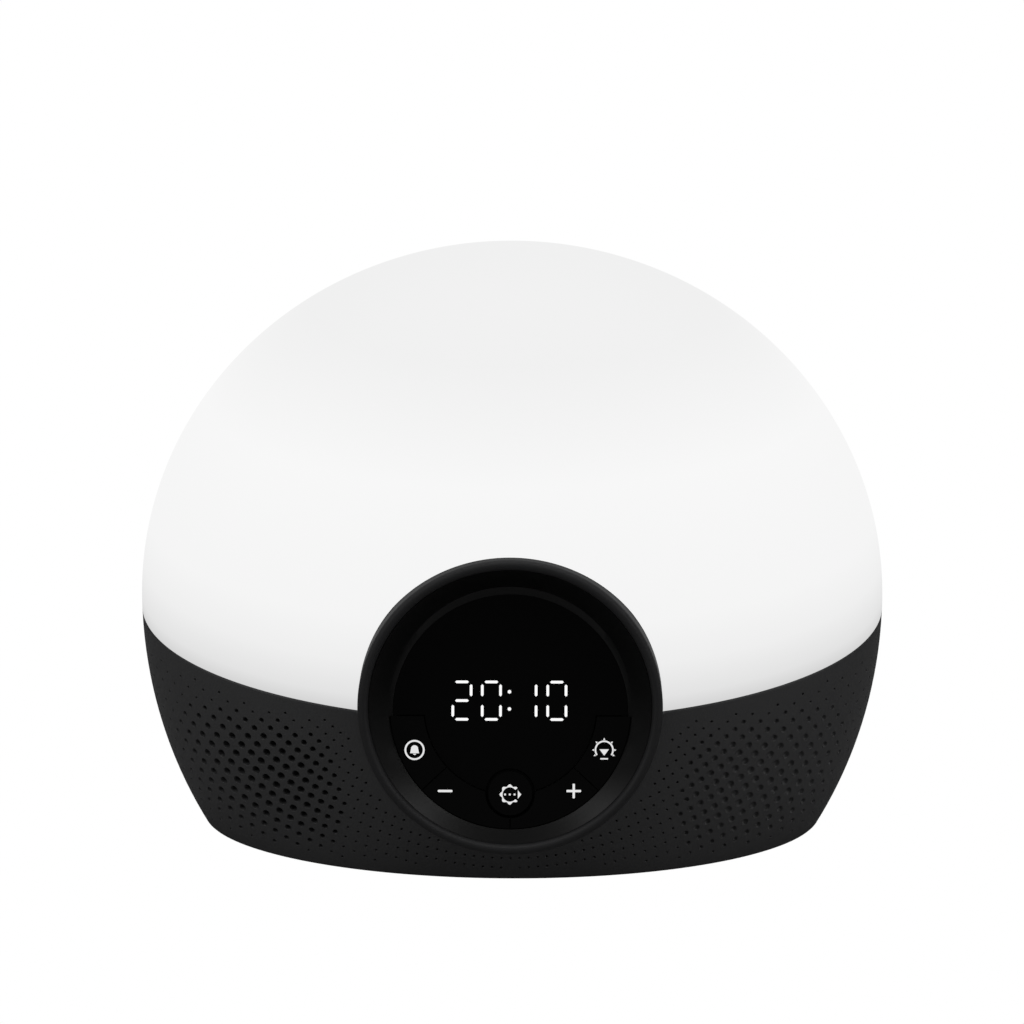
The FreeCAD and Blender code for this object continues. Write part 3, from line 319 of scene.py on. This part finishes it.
# Upper and lower edges of the base housing: rolled over by 0.7 mm at the seam and by 1.2 mm at the foot, with a
# short inner wall behind each. Moulded in one with the skin.
turns = np.linspace(-math.pi, math.pi, 361)[:-1]
seam = seam_height(turns)
roll = []
for t in np.linspace(0.0, math.pi / 2.0, 6):
    roll.append((rim_round * (1.0 - math.cos(t)), -rim_round * (1.0 - math.sin(t))))
roll += [(2.2, 0.0), (wall, -0.3), (wall, -5.0)]
seam_edge = np.stack([egg(turns, seam + dz, inset) for inset, dz in roll])
foot_round = 1.2
lower = [(0.0, foot_z)]
for t in np.linspace(0.2, math.pi / 2.0, 5):
    lower.append((foot_round * (1.0 - math.cos(t)), foot_z - foot_round * math.sin(t)))
lower += [(2.2, 0.8), (wall, 1.0), (wall, 4.0)]
low_edge = np.stack([egg(turns, np.full_like(turns, z), inset) for inset, z in lower])


def outside_pod(points):
    """Points of an edge strip that would lie in the pod's hole are carried out to its rim."""
    local = in_lip(points)
    r = np.hypot(local[..., 0], local[..., 1])
    inside = (r < pod_hole_r) & (points[..., 1] < body_y)
    scale = np.where(inside, pod_hole_r / np.maximum(r, 1e-6), 1.0)
    return lip(local[..., 0] * scale, local[..., 1] * scale, local[..., 2]), inside


moved, inside = outside_pod(seam_edge)
inside = inside.reshape(-1)
faces = [f for f in grid_faces(len(roll), len(turns), close_columns=True) if not inside[list(f)].all()]
piece("housing_edges", [(moved, [f[::-1] for f in faces]),
                        (low_edge, grid_faces(len(lower), len(turns), close_columns=True))],
      "clock", abs_black, ("base_housing",))

# Plug recess: a round pocket in the rear wall, moulded in one with the housing, with a slightly broken edge.
# The inlet's nose comes through its floor, 6.5 mm down.
rear_y = body_y + b_mm * math.sqrt(1.0 - ((recess_z - belly) / drop) ** 2)
around = np.linspace(0.0, 2.0 * math.pi, 65)[:-1]
mouth = np.stack([recess_r * np.cos(around), 0.0 * around, recess_z + recess_r * np.sin(around)], axis=-1)
mouth[:, 1] = body_y + b_mm * np.sqrt(1.0 - ((mouth[:, 2] - belly) / drop) ** 2 - (mouth[:, 0] / a_mm) ** 2)
recess = []
for inset, depth in ((0.0, 0.0), (0.25, 0.25), (0.25, None), (2.2, None)):
    step = mouth.copy()
    step[:, 0] *= (recess_r - inset) / recess_r
    step[:, 2] = recess_z + (step[:, 2] - recess_z) * (recess_r - inset) / recess_r
    step[:, 1] = step[:, 1] - depth if depth is not None else rear_y - 6.5
    recess.append(step)
piece("plug_recess", [(np.stack(recess), grid_faces(4, 64, close_columns=True))], "clock", abs_black,
      ("base_housing",))

# Light dome: opal polycarbonate, moulded 2.6 mm thick and lit from inside. It glows evenly and falls off a
# little to the seam, with a soft sheen from the room on top.
glow, glow_out, glow_place = material("opal polycarbonate lit from inside")
tilt = add(glow, "VectorMath", {"operation": "DOT_PRODUCT"}, i0=glow_place, i1=seam_up)
above = add(glow, "MapRange", None, Value=tilt.outputs["Value"], From_Min=63.0, From_Max=150.0)
ramp = add(glow, "ValToRGB", None, Fac=above.outputs[0])
ramp.color_ramp.elements[0].color = linear("#d8d8d8")
ramp.color_ramp.elements[1].color = linear("#f4f4f4")
for at, code in ((0.05, "#e8e8e8"), (0.16, "#f4f4f4"), (0.3, "#fafafa"), (0.7, "#fcfcfc")):
    ramp.color_ramp.elements.new(at).color = linear(code)
lit = add(glow, "Emission", None, Color=ramp.outputs[0], Strength=0.93)
gloss = add(glow, "BsdfPrincipled", None, Base_Color=linear("#303030"), Roughness=0.6, Specular_IOR_Level=0.12)
both = add(glow, "AddShader", None, i0=lit.outputs[0], i1=gloss.outputs[0])
glow.node_tree.links.new(both.outputs[0], glow_out.inputs["Surface"])
dome_wall = 2.6
arc = np.linspace(0.0, math.pi, 121)
front = lip(pod_hole_r * np.cos(arc), pod_hole_r * np.sin(arc), 0.0)
front_x, front_z = front[:, 0], front[:, 2]
size = np.sqrt(1.0 - ((front_z - belly) / np.where(front_z > belly, rise, drop)) ** 2)
pod_turn = np.arcsin(front_x / (a_mm * size))
side_turns = np.linspace(pod_turn[0] + 1e-4, 2.0 * math.pi + pod_turn[-1] - 1e-4, 301)
columns = np.concatenate([pod_turn[::-1], side_turns])
low = np.concatenate([front_z[::-1], seam_height(side_turns)])
tilt_low = np.arcsin(np.clip((low - belly) / np.where(low > belly, rise, drop), -1.0, 1.0))
share = np.linspace(0.0, 1.0, 70)[:, None]
angle = tilt_low[None, :] * (1.0 - share) + (math.pi / 2.0) * share
height = belly + np.where(angle > 0, rise, drop) * np.sin(angle)
outer = egg(columns[None, :] + 0.0 * share, height)
inner = egg(columns[None, :] + 0.0 * share, np.minimum(height, belly + rise - 0.01), dome_wall)
shell = np.concatenate([inner[::-1], outer])
piece("dome", [(shell, grid_faces(len(shell), len(columns), close_columns=True))], "clock", glow,
      ("diffuser_dome",))

# Trim ring of the display pod: satin black ABS, moulded with a rounded lip, a drum through the wall and a
# flange that is screwed to the housing from inside.
ring_black = moulded("satin black ABS of the trim ring", "#19191a", 0.6, 0.25, 0.15, specular=0.2)
lip_r, lip_round, step_r, drum_r, flange_r = 41.5, 1.45, 38.6, 39.3, 48.0
flange_front, flange_rear = -18.0, -20.4
ring = np.linspace(0.0, 2.0 * math.pi, 193)[:-1]
profile = [(step_r, -4.0), (drum_r, -4.0), (drum_r, flange_rear), (flange_r, flange_rear),
           (flange_r, flange_front), (lip_r, flange_front), (lip_r, -lip_round)]
for t in np.linspace(0.0, math.pi, 13)[1:-1]:
    profile.append((lip_r - lip_round + lip_round * math.cos(t), -lip_round + lip_round * math.sin(t)))
profile += [(step_r, -lip_round)]
ring_net = np.stack([lip(r * np.cos(ring), r * np.sin(ring), z) for r, z in profile])
piece("trim_ring", [(ring_net, grid_faces(len(profile), 192, True, True)[:, ::-1])], "clock", ring_black,
      ("pod_ring",))

# Bowl of the pod: satin ABS that runs from under the lip down to the display, with the rebate of the
# window above, the well of the keys below, and the display chamber behind. Bonded under the trim ring's step.
# Its colour, #0a0a0a against the trim ring's #19191a, is darkened to paint the shade that falls inside the
# recess behind the lip.
shaded_bowl_black = moulded("satin black ABS of the bowl, darkened as painted shade", "#0a0a0a", 0.42, 0.25, 0.15, specular=0.2)
disc_turn = math.radians(72.0)
disc_origin = lip(0.0, -2.45, -10.4)
disc_r, window_r, window_low, shoulder_r, chamber_r, chamber_back = 33.2, 32.3, 1.15, 30.6, 34.5, 12.2
key_line = -2.2


def disc(x, y, z):
    """Point of the display frame: leans back 18 degrees from upright, z comes out of the display."""
    c, s = math.cos(disc_turn), math.sin(disc_turn)
    x, y, z = np.broadcast_arrays(*(np.asarray(v, float) for v in (x, y, z)))
    return np.stack([x, disc_origin[1] + y * c - z * s, disc_origin[2] + y * s + z * c], axis=-1)


def well_row(upper_r, upper_z, upper_y, lower_r, lower_z):
    """A ring of the well: one radius, height and shift beside the window, another beside the keys."""
    above = disc(upper_r * np.cos(ring), upper_y + upper_r * np.sin(ring), upper_z)
    below = disc(lower_r * np.cos(ring), lower_r * np.sin(ring), lower_z)
    return np.where(disc_r * np.sin(ring)[:, None] > key_line, above, below)


bowl_top = lip(step_r * np.cos(ring), step_r * np.sin(ring), -lip_round)
bowl_low = disc(disc_r * np.cos(ring), disc_r * np.sin(ring), 0.0)
share = np.linspace(0.028, 1.0, 12)[:, None, None]
outside = [disc((chamber_r + 0.1) * np.cos(ring), (chamber_r + 0.1) * np.sin(ring), -chamber_back),
           disc(35.2 * np.cos(ring), 35.2 * np.sin(ring), -2.0),
           lip(38.45 * np.cos(ring), 38.45 * np.sin(ring), -4.0)]
inside = [well_row(window_r, -1.0, -window_low, disc_r, -2.8),
          well_row(window_r, -1.9, -window_low, 33.1, -2.8),
          well_row(shoulder_r, -1.9, 0.0, shoulder_r, -2.8),
          well_row(shoulder_r, -4.4, 0.0, shoulder_r, -4.4),
          well_row(chamber_r, -4.4, 0.0, chamber_r, -4.4),
          well_row(chamber_r, -chamber_back, 0.0, chamber_r, -chamber_back)]
bowl_net = np.concatenate([np.stack(outside), bowl_top * (1.0 - share) + bowl_low * share, np.stack(inside)])
piece("pod_bowl", [(bowl_net, grid_faces(len(bowl_net), 192, True, True)[:, ::-1])], "clock", shaded_bowl_black,
      ("display_bezel",))

# Window and keys: smoked acrylic and gloss black plastic that almost vanish when dark. The other CAD nodes have
# plated steel screws, a rubber foot, a brass pin, white light parts and plain inner plastic.
finishes = {
    "window": moulded("smoked acrylic", "#030303", 0.08, 2.0, 0.02, specular=0.12),
    "key": moulded("gloss key plastic", "#030303", 0.15, 1.0, 0.03, specular=0.15),
    "rubber": moulded("foot rubber", "#151515", 0.8, 0.5, 0.4),
    "steel": moulded("zinc plated steel", "#9a9a9c", 0.35, 0.6, 0.1),
    "inner": moulded("inner plastic", "#1c1c1c", 0.5, 0.6, 0.2),
    "white": moulded("white ABS", "#e8e8e8", 0.5, 0.6, 0.2),
    "brass": moulded("plated brass", "#b09040", 0.3, 0.6, 0.1),
    "housing": abs_black}
special = {"display_lens": "window", "rubber_feet": "rubber", "light_tray": "white", "led_board": "white",
           "speaker_basket": "steel", "bottom_cover": "housing", "jack_pin": "brass"}
for name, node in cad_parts.items():
    use = special.get(name, "inner")
    if name.endswith("_key"):
        use = "key"
    elif name.endswith("_screws"):
        use = "steel"
    node.data.materials.clear()
    node.data.materials.append(finishes[use])

# Digits: white light from the LED module behind the window, drawn as flat bars just above it. They read as four
# seven-segment figures with a colon.
ink, ink_out, _ = material("white LED segments")
ink_lit = add(ink, "Emission", None, Color=linear("#ffffff"), Strength=1.0)
ink.node_tree.links.new(ink_lit.outputs[0], ink_out.inputs["Surface"])
face_z = -0.97
half = 0.37              # half the thickness of a segment
digit_half, digit_rise, digit_middle = 2.5, 5.12, 2.02
end_gap, middle_gap = 0.62, 1.15


def bar(x0, y0, x1, y1):
    """A flat bar with pointed ends from one point to another on the window."""
    d = np.array([x1 - x0, y1 - y0])
    d /= np.linalg.norm(d)
    n = np.array([-d[1], d[0]])
    a, b = np.array([x0, y0]), np.array([x1, y1])
    pts = [a, a + d * half + n * half, b - d * half + n * half,
           b, b - d * half - n * half, a + d * half - n * half]
    return np.array([disc(p[0], p[1], face_z) for p in pts]), [tuple(range(6))]


def digit(x, lit_bars):
    """The lit segments of one digit about x: a top, b and c right, d bottom, e and f left, g middle."""
    top, low = digit_middle + digit_rise, digit_middle - digit_rise
    right, left = x + digit_half, x - digit_half
    level = (left + end_gap, right - end_gap)
    ends = {"a": (level[0], top, level[1], top), "g": (level[0], digit_middle, level[1], digit_middle),
            "d": (level[0], low, level[1], low),
            "b": (right, top - end_gap, right, digit_middle + middle_gap),
            "f": (left, top - end_gap, left, digit_middle + middle_gap),
            "c": (right, digit_middle - middle_gap, right, low + end_gap),
            "e": (left, digit_middle - middle_gap, left, low + end_gap)}
    return [bar(*ends[letter]) for letter in lit_bars]


bars = digit(-13.28, "abged") + digit(-5.22, "abcdef") + digit(4.53, "bc") + digit(12.72, "abcdef")
colon_x, colon_r, dot_turns = -0.27, 0.5, ring[::16]
for y in (-0.25, 4.47):
    dot = disc(colon_x + colon_r * np.cos(dot_turns), y + colon_r * np.sin(dot_turns), face_z)
    bars.append((dot, [tuple(range(len(dot_turns)))]))
piece("clock_digits", bars, "clock", ink, smooth=False)

# Key symbols: white print lit from behind, on each key's own body, so that it moves with the key. All are drawn
# flat in display millimetres, 0.02 mm above the keys.
symbol_white, symbol_out, _ = material("white key print lit from behind")
symbol_lit = add(symbol_white, "Emission", None, Color=linear("#e6e6e6"), Strength=1.0)
symbol_white.node_tree.links.new(symbol_lit.outputs[0], symbol_out.inputs["Surface"])
print_z = 0.02


def patch(outline):
    """One flat face through (x, y) points."""
    x, y = np.array(outline, float).T
    return disc(x, y, print_z), [tuple(range(len(x)))]


def arc_band(x, y, radius, wide, start, end, steps=48, wave=0.0, waves=8):
    """A band along an arc about (x, y) from one angle to another, in degrees. Its outer edge may be wavy."""
    turn = np.radians(np.linspace(start, end, steps + 1))
    far = radius + wide / 2.0 + wave * np.cos(waves * turn)
    near_r = radius - wide / 2.0
    rows = np.stack([disc(x + far * np.cos(turn), y + far * np.sin(turn), print_z),
                     disc(x + near_r * np.cos(turn), y + near_r * np.sin(turn), print_z)])
    return rows, grid_faces(2, steps + 1)


def pill(x, y, long, wide):
    """A level bar with round ends."""
    turn = np.linspace(-math.pi / 2.0, math.pi / 2.0, 9)
    reach = long / 2.0 - wide / 2.0
    right = [(x + reach + wide / 2.0 * math.cos(a), y + wide / 2.0 * math.sin(a)) for a in turn]
    left = [(x - reach - wide / 2.0 * math.cos(a), y - wide / 2.0 * math.sin(a)) for a in turn]
    return patch(right + left)


def box_patch(x, y, wide, tall):
    """A small level rectangle."""
    return patch([(x - wide / 2, y - tall / 2), (x + wide / 2, y - tall / 2), (x + wide / 2, y + tall / 2),
                  (x - wide / 2, y + tall / 2)])


# Alarm key: a bell with its clapper in a ring.
ax, ay = -26.2, -11.5
dome_turns = np.linspace(0.0, math.pi, 13)
bell = [(1.25, -0.9), (1.13, -0.45), (0.98, 0.35)]
bell += [(0.98 * math.cos(a), 0.35 + 0.95 * math.sin(a)) for a in dome_turns[1:-1]]
bell += [(-0.98, 0.35), (-1.13, -0.45), (-1.25, -0.9)]
clapper = [(0.42 * math.cos(a), -1.02 - 0.34 * math.sin(a)) for a in np.linspace(0.0, math.pi, 9)]
piece("alarm_symbol", [arc_band(ax, ay, 2.51, 0.5, 0.0, 360.0, 64), patch([(ax + x, ay + y) for x, y in bell]),
                       patch([(ax + x, ay + y) for x, y in clapper[::-1]])],
      "alarm_key", symbol_white, smooth=False)

# Minus and plus keys: a round-ended bar, and a cross whose four arms have chamfered ends.
piece("minus_symbol", [pill(-17.8, -22.7, 4.06, 0.65)], "minus_key", symbol_white, smooth=False)
px, py = 17.4, -22.6
cross = []
for i in range(4):
    c, q = math.cos(i * math.pi / 2.0), math.sin(i * math.pi / 2.0)
    for x, y in ((0.325, 0.325), (0.325, 1.85), (0.2, 2.0), (-0.2, 2.0), (-0.325, 1.85)):
        cross.append((px + x * c - y * q, py + x * q + y * c))
piece("plus_symbol", [patch(cross)], "plus_key", symbol_white, smooth=False)

# Menu key: three dots in an open ring with a wavy edge and an arrow head.
mx, my = -0.1, -23.6
menu_parts = [arc_band(mx, my, 2.25, 0.56, 40.0, 320.0, 96, wave=0.26)]
menu_parts += [patch([(mx + 2.2, my - 1.15), (mx + 3.15, my), (mx + 2.2, my + 1.15)])]
menu_parts += [box_patch(mx + dx, my, 0.5, 0.5) for dx in (-1.3, 0.0, 1.3)]
piece("menu_symbol", menu_parts, "menu_key", symbol_white, smooth=False)

# Sunset key: a sun with short rays, a downward arrow in it and a line below.
sx, sy = 25.7, -11.35
sun = [arc_band(sx, sy, 2.4, 0.45, -35.0, 215.0, 48)]
for turn in (-30.0, 0.0, 45.0, 90.0, 135.0, 180.0, 210.0):
    c, q = math.cos(math.radians(turn)), math.sin(math.radians(turn))
    ray = ((2.75, -0.3), (3.35, 0.0), (2.75, 0.3))
    sun.append(patch([(sx + r * c - w * q, sy + r * q + w * c) for r, w in ray]))
sun.append(patch([(sx - 1.3, sy + 0.2), (sx, sy - 1.55), (sx + 1.3, sy + 0.2)]))
sun.append(box_patch(sx, sy - 2.4, 2.1, 0.4))
piece("sunset_symbol", sun, "sunset_key", symbol_white, smooth=False)

# Floor: a sheet of white paper. The camera sees it plain white, and to everything else it is a dull grey that
# sends little light back under the clock.
floor_mat, floor_out, _ = material("white studio floor")
path = add(floor_mat, "LightPath")
seen = add(floor_mat, "Emission", None, Color=(1, 1, 1, 1), Strength=1.0)
matte = add(floor_mat, "BsdfDiffuse", None, Color=(0.3, 0.3, 0.3, 1.0))
mix = add(floor_mat, "MixShader", None, i0=path.outputs["Is Camera Ray"], i1=matte.outputs[0],
          i2=seen.outputs[0])
floor_mat.node_tree.links.new(mix.outputs[0], floor_out.inputs["Surface"])
mesh = bpy.data.meshes.new("floor")
mesh.from_pydata([(-3, -3, 0), (3, -3, 0), (3, 3, 0), (-3, 3, 0)], [], [(0, 1, 2, 3)])
floor = bpy.data.objects.new("floor", mesh)
scene.collection.objects.link(floor)
mesh.materials.append(floor_mat)

# Room: white to the camera, and a faint even fill to everything else.
world = bpy.data.worlds.new("studio")
scene.world = world
world.use_nodes = True
world.node_tree.nodes.clear()
w_out = add(world, "OutputWorld")
w_path = add(world, "LightPath")
w_seen = add(world, "Background", None, Color=(1, 1, 1, 1), Strength=1.0)
w_room = add(world, "Background", None, Color=(1, 1, 1, 1), Strength=0.12)
w_mix = add(world, "MixShader", None, i0=w_path.outputs["Is Camera Ray"], i1=w_room.outputs[0],
            i2=w_seen.outputs[0])
world.node_tree.links.new(w_mix.outputs[0], w_out.inputs["Surface"])


def face_towards(obj, at, aim):
    """Places a lamp or camera and turns its -Z axis to a point: tilt from the drop, then the heading."""
    to = np.array(aim) - np.array(at)
    obj.location = at
    obj.rotation_euler = (math.acos(-to[2] / np.linalg.norm(to)), 0.0, math.atan2(-to[0], to[1]))
    scene.collection.objects.link(obj)


def softbox(name, at, size, power):
    """A rectangular area light at a point in metres, aimed at the clock."""
    data = bpy.data.lights.new(name, "AREA")
    data.shape, data.size, data.size_y, data.energy = "RECTANGLE", size[0], size[1], power
    face_towards(bpy.data.objects.new(name, data), at, (0, 0, 0.05))


# Three softboxes: a wide one overhead and a tall one at each side.
softbox("overhead", (0.0, -0.25, 1.1), (1.2, 0.7), 7.0)
softbox("left_side", (-0.9, -0.6, 0.55), (0.5, 0.8), 4.0)
softbox("right_side", (0.9, -0.6, 0.55), (0.5, 0.8), 4.0)

# Camera: a long lens 1.2 m away, 18.2 degrees above the clock and half a degree to its right.
camera = bpy.data.cameras.new("camera")
camera.lens, camera.sensor_width = 149.2, 36.0
camera.clip_start, camera.clip_end = 0.1, 10.0
view = bpy.data.objects.new("camera", camera)
rise_angle, azimuth, distance = math.radians(18.2), math.radians(0.5), 1.2
reach = distance * math.cos(rise_angle)
spot = np.array([reach * math.sin(azimuth), 0.003248 - reach * math.cos(azimuth),
                 0.085 + distance * math.sin(rise_angle)])
face_towards(view, spot, (0.0, 0.003248, 0.0927))
scene.camera = view
scene.view_settings.view_transform = "Standard"
